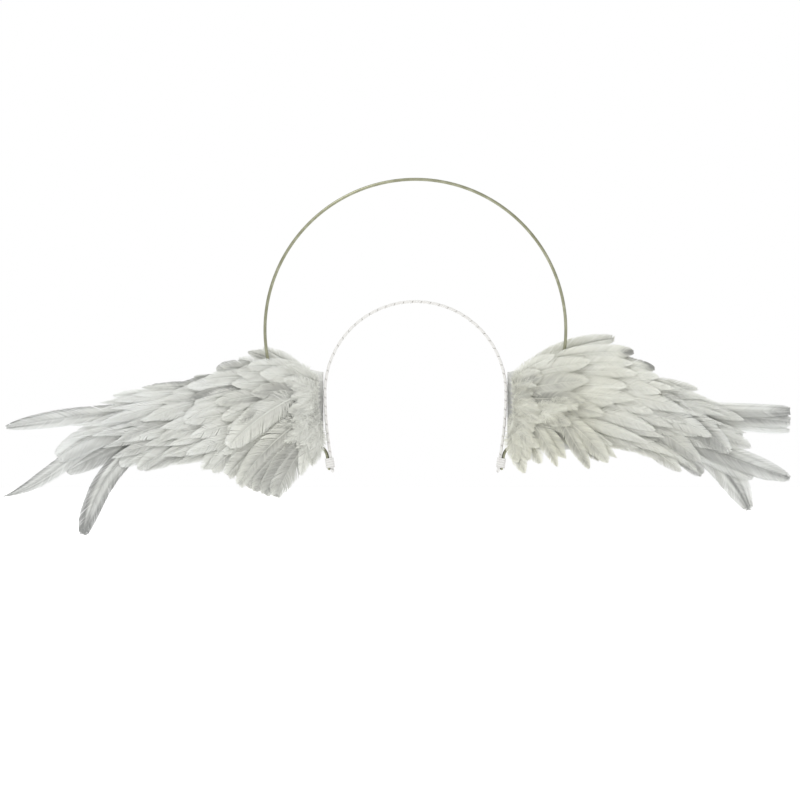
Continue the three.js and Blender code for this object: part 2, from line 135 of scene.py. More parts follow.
# Rows of coverts in front of the pad, innermost first. The quills run from the first to the last
# height, the widths and tones likewise, and the tips follow a curve given by its start, pull and end.
# Straggle is a share of how far the tips usually stray, and leader holds the top feather's own values.
# The low tones of the left median and greater leaders, the leaders' upper rims below zero and the dark tips
# of the right lesser and median leaders are painted shadow along the wing's top edge.
FRONT_ROWS = {
    "left": [
        dict(name="lesser", count=9, widths=(.060, .074), quills=(.100, -.130), tones=(.70, .46),
             tips=((.235, .122), (.390, -.030), (.225, -.283)),
             leader=dict(base=(.030, .078), tip=(.236, .104))),
        dict(name="median", count=10, widths=(.056, .070), quills=(.085, -.130), tones=(.70, .62),
             tips=((.335, .096), (.520, -.050), (.305, -.226)),
             leader=dict(tone=.34, upper_rim=-.40, blunt=.50)),
        dict(name="greater", count=10, widths=(.050, .064), quills=(.048, -.130), tones=(.72, .64),
             tips=((.450, .044), (.630, -.060), (.380, -.220)), leader=dict(tone=.26, upper_rim=-.40)),
        dict(name="secondary", count=11, widths=(.044, .056), quills=(.022, -.130), tones=(.72, .66),
             tips=((.565, .038), (.770, -.080), (.460, -.208)), leader=dict(upper_rim=-.60)),
        dict(name="outer", count=11, widths=(.042, .052), quills=(-.003, -.130), tones=(.68, .44),
             tips=((.664, .011), (.870, -.120), (.560, -.222)), leader=dict(blunt=.60)),
    ],
    "right": [
        dict(name="lesser", count=9, widths=(.058, .062), quills=(.118, -.080), tones=(.68, .44),
             straggle=.3, tips=((.397, .147), (.420, .020), (.104, -.205)),
             leader=dict(tone=.56, tip_tone=-.85, blunt=.50)),
        dict(name="median", count=10, widths=(.054, .048), quills=(.105, -.080), tones=(.72, .50),
             tips=((.464, .095), (.560, -.020), (.302, -.192)),
             leader=dict(tip_tone=-.85, upper_rim=-.45, blunt=.50)),
        dict(name="greater", count=10, widths=(.050, .056), quills=(.072, -.090), tones=(.48, .49),
             tips=((.520, .050), (.680, -.030), (.340, -.186))),
        dict(name="secondary", count=10, widths=(.046, .058), quills=(.042, -.105), tones=(.50, .56),
             tips=((.600, .031), (.760, -.100), (.400, -.152)), leader=dict(blunt=.60)),
        dict(name="outer", count=11, widths=(.042, .044), quills=(.004, -.115), tones=(.54, .54),
             straggle=.4, tips=((.680, -.020), (.840, -.168), (.510, -.202))),
    ],
}
# Rows behind the pad. Key start is the row's place among the front rows.
BACK_ROWS = {
    "left": [
        dict(name="back_outer", start=3.2, count=8, widths=(.052, .062), quills=(.018, -.120),
             tones=(.60, .50), tips=((.600, .012), (.750, -.100), (.480, -.200))),
        dict(name="back_inner", start=0.8, count=10, widths=(.058, .068), quills=(.086, -.120),
             tones=(.76, .50), tips=((.190, .158), (.560, .030), (.290, -.218)),
             leader=dict(base=(.040, .062), width=.050, bow=.030, tone=.80)),
    ],
    "right": [
        dict(name="back_outer", start=3.2, count=8, widths=(.052, .062), quills=(.024, -.115),
             tones=(.56, .48), tips=((.610, -.004), (.780, -.120), (.500, -.165))),
        dict(name="back_inner", start=0.8, count=10, widths=(.058, .066), quills=(.100, -.095),
             tones=(.70, .50), tips=((.340, .190), (.480, .060), (.300, -.166)),
             leader=dict(base=(.030, .074), bow=.064, blunt=.45, tone=.76, root_shade=.0, tip_tone=-.30)),
    ],
}
# Feathers that cover the wing's root. Columns: base out, base up, tip out, tip up, width, bow, blunt, tone.
# The tones are the feathers' grey with painted shade in them, most at the lower root.
ROOT_FEATHERS = {
    "left": [
        (.015, .045, .125, .105, .050, .03, .80, .80), (.030, .050, .200, .080, .060, .04, .80, .80),
        (.040, .020, .225, .020, .064, .03, .80, .28), (.070, .000, .260, -.070, .066, .05, .70, .22),
        (.085, .010, .298, -.150, .092, .05, .50, .62), (.060, -.060, .266, -.268, .074, .05, .45, .34),
        (.050, -.090, .213, -.290, .080, .05, .50, .22), (.030, -.110, .150, -.306, .076, .04, .50, .24),
        (.012, -.050, .070, -.240, .056, .02, .80, .60), (.045, -.100, .240, -.274, .070, .05, .40, .24),
        (.040, -.110, .184, -.299, .070, .05, .40, .18),
    ],
    "right": [
        (.015, .060, .150, .138, .046, .04, .80, .74), (.040, .065, .262, .118, .062, .03, .85, .62),
        (.040, .030, .260, .060, .066, .02, .85, .40), (.050, .000, .240, -.010, .066, .03, .85, .28),
        (.050, -.030, .200, -.080, .058, .03, .80, .34), (.160, -.050, .256, -.217, .046, .00, .60, .27),
        (.140, -.040, .314, -.200, .062, .06, .50, .40), (.060, -.050, .155, -.212, .046, .04, .90, .36),
        (.030, -.040, .068, -.188, .048, -.03, .80, .46),
    ],
}
# Single feathers on top of a row. Columns: row, base out, base up, tip out, tip up, width, bow,
# blunt, tone, and what is added to the tone at the upper rim and the lower rim: a painted highlight above
# zero and painted shade below it. Low tones hold painted shade, and several of these feathers carry bright
# rims that are painted highlights along curled edges.
ACCENTS = {
    "left": [
        ("lesser", .170, -.125, .300, -.238, .070, .03, .35, .44, .40, .30),
        ("median", .250, .040, .418, .002, .044, -.02, .80, .08, .05, .60),
        ("median", .260, .010, .434, -.072, .062, .05, .50, .66, .40, .40),
        ("median", .230, -.130, .350, -.221, .066, .03, .35, .46, .40, .20),
        ("greater", .330, .000, .565, -.070, .046, .04, .90, .66, .40, .40),
        ("greater", .340, -.050, .520, -.135, .044, .04, .90, .40, .20, .60),
        ("greater", .270, -.130, .374, -.217, .058, .03, .45, .50, .30, .20),
        ("secondary", .420, -.010, .700, -.075, .040, .02, 1.00, .66, .40, .30),
        ("secondary", .430, -.060, .660, -.140, .040, .03, 1.00, .36, .50, .50),
        ("outer", .410, -.120, .583, -.220, .060, .02, .50, .46, .30, -.20),
        ("back_inner", .070, .080, .238, .150, .050, .03, .70, .40, .20, .30),
    ],
    "right": [
        ("lesser", .180, .020, .400, .000, .050, .02, .90, .60, .30, .40),
        ("median", .300, .010, .560, -.040, .052, .05, .90, .66, .40, .40),
        ("greater", .400, -.020, .640, -.120, .060, .04, .90, .62, .40, .10),
        ("secondary", .440, .005, .700, -.168, .082, .05, .60, .20, .95, .10),
        ("secondary", .430, -.070, .610, -.200, .058, .03, .90, .40, .60, .10),
        # A thin white feather that paints a highlight along the rim of the feather under it.
        ("secondary", .525, .000, .694, -.168, .020, .07, .70, 1.00, .00, .00),
        ("outer", .520, -.010, .745, -.066, .042, .02, .90, .56, .50, .20),
        ("outer", .400, -.120, .545, -.226, .050, .02, .70, .44, .30, .00),
        ("outer", .540, -.080, .766, -.148, .056, .02, .60, .50, .40, .10),
        ("outer", .460, -.130, .594, -.228, .040, .03, .70, .34, .20, -.30),
    ],
}
# Long flight feathers. Columns: base out, base up, tip out, tip up, width, bow, swing, layer, blunt, tone,
# and what is added to the tone at the tip, the upper rim and the lower rim. The tone is the feather's grey
# with painted shade where a flight lies under the one above, and what is added is painted shade below zero
# and a painted highlight above it.
FLIGHTS = {
    "left": [
        (.430, -.018, 1.008, -.090, .054, .012, .010, 3, .66, .46, -.20, -.38, .30),
        (.440, -.035, .842, -.186, .084, .062, .000, 2, .40, .54, .00, -.10, .30),
        (.455, -.062, 1.022, -.309, .050, .056, -.105, 1, 1.50, .44, -.30, -.40, .25),
        (.465, -.084, .812, -.231, .070, .030, .000, 0, .60, .28, -.05, .20, .20),
        (.430, -.096, .640, -.208, .062, .030, .000, 3, .60, .58, .05, .30, .20),
        (.445, -.108, .756, -.430, .066, .172, -.030, 2, .42, .36, -.64, -.80, -.70),
        (.455, -.126, .716, -.335, .038, .168, .000, 1, .60, .24, .00, .20, -.20),
    ],
    "right": [
        (.430, -.014, .896, -.037, .046, -.014, .000, 3, .28, .53, -.58, .35, -.10),
        (.440, -.028, .897, -.072, .052, .000, .000, 2, .28, .30, -.15, .00, .66),
        (.455, -.042, .895, -.100, .034, -.004, .000, 1, .45, .62, -.05, .20, .30),
        (.470, -.057, .742, -.118, .056, .010, .000, 0, .50, .50, .00, .30, .20),
        (.430, -.075, .895, -.251, .070, -.004, .000, 3, .62, .28, -.10, .40, .15),
        (.440, -.087, .775, -.250, .062, .020, .000, 2, .60, .46, .00, .35, .20),
        (.455, -.104, .762, -.352, .086, .142, .000, 1, .62, .32, -.20, .35, .10),
        (.465, -.122, .612, -.236, .056, .040, .000, 0, .50, .34, .00, .20, -.15),
    ],
}
# First seed of each wing, and what its other groups of feathers add to it
SEEDS = {"left": 1100, "right": 2300}
BACK_SEED = 20
ROOT_SEED = 40
FLIGHT_SEED = 60
# Loose down at the root: where it grows, out and up, and how long it is
DOWN_OUT = {"left": (0.01, 0.07), "right": (0.01, 0.15)}
DOWN_UP = {"left": (-0.11, 0.05), "right": (-0.09, 0.04)}
DOWN_LENGTH = (0.06, 0.11)
DOWN_COUNT = 8
# Small soft feathers that cover the quills along the inner edge: heights, directions, length and width
COVER_COUNT = 13
COVER_OUT = 0.010
COVER_UP = (0.052, -0.112)
COVER_TURN = (math.radians(26), math.radians(-80))
COVER_LENGTH = 0.098
COVER_WIDTH = 0.046


# Meshes

def between(ends, share):
    """Value that runs evenly from the first of two ends to the second."""
    return ends[0] + (ends[1] - ends[0]) * share


def heading(turn):
    """Unit directions at the angles turn."""
    return np.stack([np.cos(turn), np.sin(turn)], -1)


def left_of(run):
    """Plane vectors turned a quarter to the left."""
    return np.stack([-run[..., 1], run[..., 0]], -1)


def uv_grid(along, around):
    """UVs of a tube from its values along and around."""
    return np.stack(np.broadcast_arrays(along, around), -1)


def tube_faces(tubes, stations, sides, loop=False):
    """Triangles of closed tubes whose points run tube by tube, ring by ring.

    Walls join each ring to the next. A loop joins the last ring to the first, and any other tube
    is closed by a fan at each end.
    """
    spans = stations if loop else stations - 1
    ring, k = np.meshgrid(np.arange(spans), np.arange(sides), indexing="ij")
    after = (ring + 1) % stations * sides
    here = ring * sides
    turn = (k + 1) % sides
    corners = [here + k, here + turn, after + turn, here + k, after + turn, after + k]
    walls = np.stack(corners, -1).reshape(-1, 3)
    fan = np.arange(1, sides - 1)
    first = np.stack([0 * fan, fan + 1, fan], -1)
    last = (stations - 1) * sides + np.stack([0 * fan, fan, fan + 1], -1)
    one = walls if loop else np.concatenate([walls, first, last])
    return one[None] + (np.arange(tubes) * stations * sides)[:, None, None]


def facing_out(points, faces):
    """Turns each tube's triangles so that the volume they enclose is positive."""
    a, b, c = (points[faces[..., i]] for i in range(3))
    inside = np.einsum("...i,...i->...", a, np.cross(b, c)).sum(-1) < 0
    return np.where(inside[:, None, None], faces[..., ::-1], faces).reshape(-1, 3)


def new_object(name, data):
    """An object of the scene that shows the data, at the origin."""
    thing = bpy.data.objects.new(name, data)
    bpy.context.scene.collection.objects.link(thing)
    return thing


class Heap:
    """Gathers closed tubes and makes one mesh object of them."""

    def __init__(self):
        self.points, self.faces, self.uvs, self.tones, self.count = [], [], [], [], 0

    def add(self, rings, uv, tone=0.5, loop=False):
        """rings has the shape tubes, stations, sides, 3. uv and tone go with each point."""
        shape = rings.shape[:3]
        points = rings.reshape(-1, 3)
        faces = facing_out(points, tube_faces(*shape, loop=loop))
        self.points.append(points)
        self.faces.append(faces + self.count)
        self.uvs.append(np.broadcast_to(uv, shape + (2,)).reshape(-1, 2))
        self.tones.append(np.broadcast_to(tone, shape).reshape(-1))
        self.count += len(points)

    def make(self, name, material, node):
        """A smooth mesh in metres that rides on the body and stands for the node."""
        points = np.concatenate(self.points) * MM
        faces = np.concatenate(self.faces)
        mesh = bpy.data.meshes.new(name)
        mesh.vertices.add(len(points))
        mesh.vertices.foreach_set("co", points.astype(np.float32).ravel())
        mesh.loops.add(faces.size)
        mesh.loops.foreach_set("vertex_index", faces.astype(np.int32).ravel())
        mesh.polygons.add(len(faces))
        mesh.polygons.foreach_set("loop_start", np.arange(0, faces.size, 3, dtype=np.int32))
        mesh.polygons.foreach_set("loop_total", np.full(len(faces), 3, np.int32))
        mesh.polygons.foreach_set("use_smooth", np.ones(len(faces), bool))
        mesh.update(calc_edges=True)
        surface = mesh.uv_layers.new(name="surface")
        surface.data.foreach_set("uv", np.concatenate(self.uvs)[faces.ravel()].astype(np.float32).ravel())
        tone = mesh.attributes.new("tone", "FLOAT", "POINT")
        tone.data.foreach_set("value", np.concatenate(self.tones).astype(np.float32))
        mesh.materials.append(material)
        piece = new_object(name, mesh)
        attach(piece, BODY)
        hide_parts(node)


# Headband, halo and bindings

LEG_DOWN = np.array([-math.sin(LEG_BEND_ANGLE), -math.cos(LEG_BEND_ANGLE)])
LEG_OUT = np.array([math.cos(LEG_BEND_ANGLE), -math.sin(LEG_BEND_ANGLE)])
LEG_TOP = np.array([BAND_MIDDLE - LEG_BEND_RADIUS, -BAND_RADIUS]) + LEG_BEND_RADIUS * LEG_OUT
TAIL_OFFSET = BAND_THICKNESS / 2 + PLAY + HALO_WIRE / 2


def on_arc(centre, radius, angle):
    """Points of an arc in the plane of the band, X and Z."""
    return np.stack([centre[0] + radius * np.cos(angle), centre[1] + radius * np.sin(angle)], -1)


def halo_route():
    """Where the ring meets its fillet and the fillet meets the tail, on the right side.

    The fillet's centre lies HALO_FILLET outside the tail's line and one ring radius plus one
    fillet radius from the ring's centre, which fixes how far down the leg the tail starts.
    """
    ring = np.array([0.0, -HALO_DROP])
    start = LEG_TOP + TAIL_OFFSET * LEG_OUT
    away = start + HALO_FILLET * LEG_OUT - ring
    along = away @ LEG_DOWN
    slide = -along + math.sqrt(along ** 2 - away @ away + (HALO_RADIUS + HALO_FILLET) ** 2)
    centre = ring + away + slide * LEG_DOWN
    angle = math.atan2(*(centre - ring)[::-1])
    return dict(
        ring=ring, centre=centre, angle=angle, tail=start + slide * LEG_DOWN, slide=slide,
        ring_half=HALO_RADIUS * (math.pi / 2 - angle), fillet=HALO_FILLET * abs(angle + LEG_BEND_ANGLE),
    )


ROUTE = halo_route()
TAIL_MIDDLE = ROUTE["slide"] + HALO_TAIL / 2
LEG_END = TAIL_MIDDLE + HALO_TAIL / 2 + LEG_MARGIN


def mirrored(right_half, distance):
    """A path through both sides: the right half as it is, the left half with X turned round."""
    point = right_half(np.abs(distance))
    return point * np.stack([np.where(distance < 0, -1.0, 1.0), np.ones_like(distance)], -1)


def halo_half(distance):
    """Right half of the halo from the top of the ring: ring, then fillet, then straight tail."""
    bend = (distance - ROUTE["ring_half"]) / ROUTE["fillet"]
    ring = on_arc(ROUTE["ring"], HALO_RADIUS, math.pi / 2 - distance / HALO_RADIUS)
    turned = ROUTE["angle"] + math.pi - (ROUTE["angle"] + LEG_BEND_ANGLE) * np.clip(bend, 0, 1)
    fillet = on_arc(ROUTE["centre"], HALO_FILLET, turned)
    past = distance - ROUTE["ring_half"] - ROUTE["fillet"]
    tail = ROUTE["tail"] + past[..., None] * LEG_DOWN
    return np.where(bend[..., None] < 0, ring, np.where(bend[..., None] < 1, fillet, tail))


def band_half(distance):
    """Right half of the band from the crown: arch, then the wide bend, then the straight leg end."""
    arch_half = BAND_MIDDLE * math.pi / 2
    bend_length = LEG_BEND_RADIUS * LEG_BEND_ANGLE
    past = distance - arch_half
    arch = on_arc((0, -BAND_RADIUS), BAND_MIDDLE, math.pi / 2 - distance / BAND_MIDDLE)
    bend = on_arc((BAND_MIDDLE - LEG_BEND_RADIUS, -BAND_RADIUS), LEG_BEND_RADIUS, -past / LEG_BEND_RADIUS)
    leg = LEG_TOP + (past - bend_length)[..., None] * LEG_DOWN
    return np.where(past[..., None] < 0, arch, np.where(past[..., None] < bend_length, bend, leg))


def frames(path):
    """Unit normals in the plane of a path of X and Z points, to its left."""
    run = np.gradient(path, axis=0)
    return left_of(run / np.linalg.norm(run, axis=-1, keepdims=True))


def quarter_round(room, least):
    """Share of full size near an end: a quarter circle over the room left, in radii."""
    return np.sqrt(np.maximum(1 - (1 - np.clip(room, 0, 1)) ** 2, least))


def round_end(distance, half, radius):
    """Share of full size near both ends of a path that runs from minus half to half."""
    return quarter_round((half - np.abs(distance)) / radius, WIRE_END_LEAST)


def carried(path, normal, across, depth):
    """Points off a path: across along its normal, depth along Y. Shapes stations by sides."""
    x = path[:, None, 0] + normal[:, None, 0] * across
    z = path[:, None, 1] + normal[:, None, 1] * across
    return np.stack([x, depth + 0 * x, z], -1)


def soft_box(half_x, half_y, sides):
    """Points of a rounded rectangle as a superellipse, with their outward unit normals."""
    circle = heading((np.arange(sides) + 0.5) * 2 * math.pi / sides)
    point = np.array([half_x, half_y]) * (np.sign(circle) * np.abs(circle) ** (2 / BOX_POWER))
    run = np.roll(point, -1, 0) - np.roll(point, 1, 0)
    normal = -left_of(run)
    return point, normal / np.linalg.norm(normal, axis=-1, keepdims=True)


def winding(turns, lap):
    """Thickness of a ribbon wound with overlap: it grows over one turn and steps down at its edge."""
    share = turns % 1.0
    step = np.clip(share / LAP_EDGE, 0, 1)
    return lap * (step * (1 - share) + LAP_CROWN * np.sin(math.pi * share) ** 2)


def lap_shadow(turns):
    """Tone of a wound ribbon: 1 on its face and 0 in the narrow shadow beside the next turn's edge."""
    return 1 - np.clip((turns % 1.0 - SHADOW_START) / SHADOW_FADE, 0, 1)


def build_halo(material):
    """The halo: a round section swept along ring, fillet and tail, with rounded ends."""
    half = ROUTE["ring_half"] + ROUTE["fillet"] + HALO_TAIL
    radius = HALO_WIRE / 2
    middle = np.linspace(-half + radius, half - radius, HALO_STATIONS)
    end = radius * (1 - np.cos(np.linspace(0, math.pi / 2, HALO_END_STATIONS + 1)[:-1]))
    distance = np.concatenate([-half + end, middle, (half - end)[::-1]])
    path = mirrored(halo_half, distance)
    angle = np.arange(HALO_SIDES) * 2 * math.pi / HALO_SIDES
    size = (radius * round_end(distance, half, radius))[:, None]
    rings = carried(path, frames(path), size * np.cos(angle), size * np.sin(angle))
    heap = Heap()
    heap.add(rings[None], uv_grid(distance[:, None], angle / (2 * math.pi))[None])
    heap.make("halo_wire", material, "halo")


def build_headband(material):
    """The band: a flat strip whose section swells with the ribbon wound round it."""
    half = BAND_MIDDLE * math.pi / 2 + LEG_BEND_RADIUS * LEG_BEND_ANGLE + LEG_END
    distance = np.linspace(-half, half, BAND_STATIONS)
    path = mirrored(band_half, distance)
    section, outward = soft_box(BAND_THICKNESS / 2, BAND_WIDTH / 2, BAND_SIDES)
    round_turn = np.arange(BAND_SIDES) / BAND_SIDES
    turns = distance[:, None] / RIBBON_PITCH - round_turn
    swell = winding(turns, RIBBON_LAP) - RIBBON_SINK
    size = round_end(distance, half, BAND_END_RADIUS)[:, None]
    across = (section[:, 0] + outward[:, 0] * swell) * size
    depth = (section[:, 1] + outward[:, 1] * swell) * size
    rings = carried(path, frames(path), across, depth)
    heap = Heap()
    heap.add(rings[None], uv_grid(turns, round_turn)[None], lap_shadow(turns)[None])
    heap.make("headband_ribbon", material, "headband")


def build_binding(side, material):
    """Turns of ribbon round leg and tail: a wall carried round a soft rectangle, closed both ways."""
    inner_face = -BAND_THICKNESS / 2 - PLAY
    outer_face = BAND_THICKNESS / 2 + HALO_WIRE + 2 * PLAY
    section, outward = soft_box((outer_face - inner_face) / 2, BAND_WIDTH / 2 + PLAY, BINDING_SIDES)
    section = section + np.array([(outer_face + inner_face) / 2, 0])
    outside = np.linspace(-BINDING_LENGTH / 2, BINDING_LENGTH / 2, BINDING_STATIONS)
    inside = np.linspace(BINDING_LENGTH / 2, -BINDING_LENGTH / 2, BINDING_INSIDE_STATIONS + 2)[1:-1]
    along = np.concatenate([outside, inside])
    on_outside = np.concatenate([np.ones(len(outside)), np.zeros(len(inside))])
    round_turn = np.arange(BINDING_SIDES) / BINDING_SIDES
    turns = along[:, None] / BINDING_PITCH - round_turn
    wall = on_outside[:, None] * (BINDING_WALL + winding(turns, BINDING_LAP) - RIBBON_SINK)
    off = section[None] + outward[None] * wall[..., None]
    middle = LEG_TOP + TAIL_MIDDLE * LEG_DOWN
    place = middle + along[:, None, None] * LEG_DOWN + off[..., :1] * LEG_OUT
    rings = np.stack([SIGN[side] * place[..., 0], off[..., 1], place[..., 1]], -1)
    heap = Heap()
    heap.add(rings[None], uv_grid(turns, round_turn)[None], lap_shadow(turns)[None], loop=True)
    heap.make(f"{side}_binding_ribbon", material, f"{side}_binding")


# Wings

def sweep(x):
    """Backward sweep of the wing: grows with the square of the way from SWEEP_START to the tip."""
    share = np.maximum(0, (np.abs(x) - SWEEP_START) / (WING_TIP_X - SWEEP_START))
    return WING_SWEEP * share ** 2


def fade(out):
    """Falls from 1 at the root to 0 at SINK_END as a squared cosine."""
    return np.cos(np.pi / 2 * np.clip(out, 0, SINK_END) / SINK_END) ** 2


def sink(out):
    """How far the front rows sink back near the root. It seats the greater row just before the wire."""
    return (-WIRE_ZONE - GREATER_ROW) / fade(GREATER_START) * fade(out)


def quill_out(start, up):
    """How far out a row's quill starts: a slope that bends at the wing's arm."""
    slope = QUILL_SLOPE / 2 * (np.hypot(up, ARM_BEND) - up)
    return np.maximum(ROOT_MARGIN, FIRST_ROW + ROW_STEP * start - slope)


def bezier(line, t):
    """Point on the curve drawn from a start, a pull and an end, at t from 0 to 1."""
    return (1 - t) ** 2 * line[0] + 2 * t * (1 - t) * line[1] + t * t * line[2]


def pad_outline(out, column):
    """Heights of the pad's top or bottom, smoothed by a mean that runs on straight at the ends."""
    line = np.interp(out, PAD_STATIONS[:, 0], PAD_STATIONS[:, column])
    longer = np.pad(line, PAD_SMOOTHING, mode="reflect", reflect_type="odd")
    window = 2 * PAD_SMOOTHING + 1
    return np.convolve(longer, np.ones(window) / window, "valid")


def build_pad(side, material):
    """Felt pad: a soft-edged wall between two outlines, with a slight unevenness in its faces.

    The unevenness is the product of two sines, each with its phase shifted by another sine.
    """
    out = np.linspace(PAD_STATIONS[0, 0], PAD_STATIONS[-1, 0], PAD_COLUMNS)
    top, bottom = pad_outline(out, 1), pad_outline(out, 2)
    flat = np.linspace(-1, 1, PAD_ROWS)
    bend = np.linspace(0, math.pi, PAD_EDGE_ROWS + 2)[1:-1]
    half = PAD_THICKNESS / 2
    height = (top - bottom)[:, None] / 2 * WING_LENGTH
    up = np.concatenate([flat, 1 + 0 * bend, -flat, -1 + 0 * bend])
    edge = half * np.concatenate([0 * flat, np.sin(bend), 0 * flat, -np.sin(bend)])
    depth = half * np.concatenate([-1 + 0 * flat, -np.cos(bend), 1 + 0 * flat, np.cos(bend)])
    ends = quarter_round(np.minimum(out - out[0], out[-1] - out) * WING_LENGTH / half, PAD_END_LEAST)
    z = (top + bottom)[:, None] / 2 * WING_LENGTH + up * (height - half) + edge
    x = ROOT_X + out[:, None] * WING_LENGTH + 0 * z
    uneven = np.sin(x * 0.9 + 1.7 * np.sin(z * 0.5)) * np.sin(z * 0.8 + 1.3 * np.sin(x * 0.37))
    y = PAD_FRONT + half + depth * (ends[:, None] + PAD_UNEVEN * uneven) + sweep(x)
    heap = Heap()
    rings = np.stack([SIGN[side] * x, y, z - WING_DROP], -1)
    heap.add(rings[None], np.stack([x, z], -1)[None] / WING_LENGTH)
    heap.make(f"{side}_felt", material, f"{side}_pad")


# How each kind of feather is shaped: full is where it is widest, rise and fall bend its edge before
# and after that place, and blunt is small for a round tip and near 1 for a pointed one
COVERT = dict(full=0.50, rise=0.62, fall=2.1, blunt=0.72)
LONG_COVERT = dict(full=0.44, rise=0.60, fall=1.7, blunt=0.95)
FLIGHT = dict(full=0.62, rise=0.45, fall=2.6)
DOWN = dict(full=0.70, rise=0.50, fall=2.0, blunt=0.80)
# Stations along a barb from the rachis to the edge, and barbs on each side of a feather
COVERT_STATIONS = np.array([0.0, 0.40, 0.80, 1.0])
FLIGHT_STATIONS = np.linspace(0, 1, 6)
COVERT_BARBS = 58
ROOT_BARBS = 72
DOWN_BARBS = 34
FLIGHT_BARBS = 118
# Rachis, and how far along it the quill rises from its seat to its layer
RACHIS_STATIONS = 13
RACHIS_SIDES = 6
RACHIS_END = 0.985
RACHIS_TAPER = 0.86
RACHIS_DOME = 0.8
RACHIS_PROUD = 0.25
QUILL_RISE = 0.12
# Barbs: where they start, how they lean, fray and darken in clumps, and the strip that each is made of
BARBS_FROM = 0.045
BARB_SHIFT = 0.12
LEAN_CLUMPS = ((14.0, 1.1), (5.0, 0.45))
TRIM_CLUMP = 8.0
TRIM_BY_CLUMP = 0.05
TRIM_BY_BARB = 0.03
SHADE_CLUMP = 5.0
SHADE_SPREAD = 0.04
LEAST_REACH = 0.8
LEAST_EDGE = 0.5
STRIP_LAP = 1.45
STRIP_TAPER = 0.62
STRIP_THICKNESS = (0.16, 0.11)
STRIP_AHEAD = np.array([-1.0, 0.0, 1.0, 0.0])
STRIP_HEIGHT = np.array([0.6, 1.0, -0.6, -1.0])
# Down: how much wider and thinner its barbs are, and how far they curl and stand off
DOWN_WIDER = 0.5
DOWN_STRAIGHTER = 0.7
DOWN_THINNER = 0.45
DOWN_CURL = 1.6
DOWN_PUFF = (1.0, 3.2)
# Tones along a feather: painted shade at the root, the tip's tone and painted shade, and painted light and
# shade at the rims and sides
ROOT_SHADE_END = 0.7
TIP_TONE_FROM = 0.82
TIP_TONE_LENGTH = 0.18
RIM_EVENNESS = 0.6
STREAK_KNOTS = 5
# How far a feather on top of a row stands off it, and how far the feathers over the root do
ACCENT_OVER = 0.9
ROOT_OVER = 0.4
DOWN_OVER = 1.8
COVER_OVER = 1.9


def clumps(random, shape, size):
    """One random number for each clump of neighbouring barbs, repeated for the barbs in it."""
    group = np.cumsum(random.random(shape) < 1 / size, -1)
    values = random.normal(size=shape[:-1] + (shape[-1] + 1,))
    return np.take_along_axis(values, group, -1)


def streaks(random, s, stations):
    """Tones that run lengthwise: random numbers at a few knots, with straight lines between."""
    values = random.normal(size=s.shape[:2] + (STREAK_KNOTS, stations))
    place = np.clip(s, 0, 1) * (STREAK_KNOTS - 1)
    low = np.minimum(place.astype(int), STREAK_KNOTS - 2)
    share = place - low
    return np.take_along_axis(values, low, 2) * (1 - share) + np.take_along_axis(values, low + 1, 2) * share


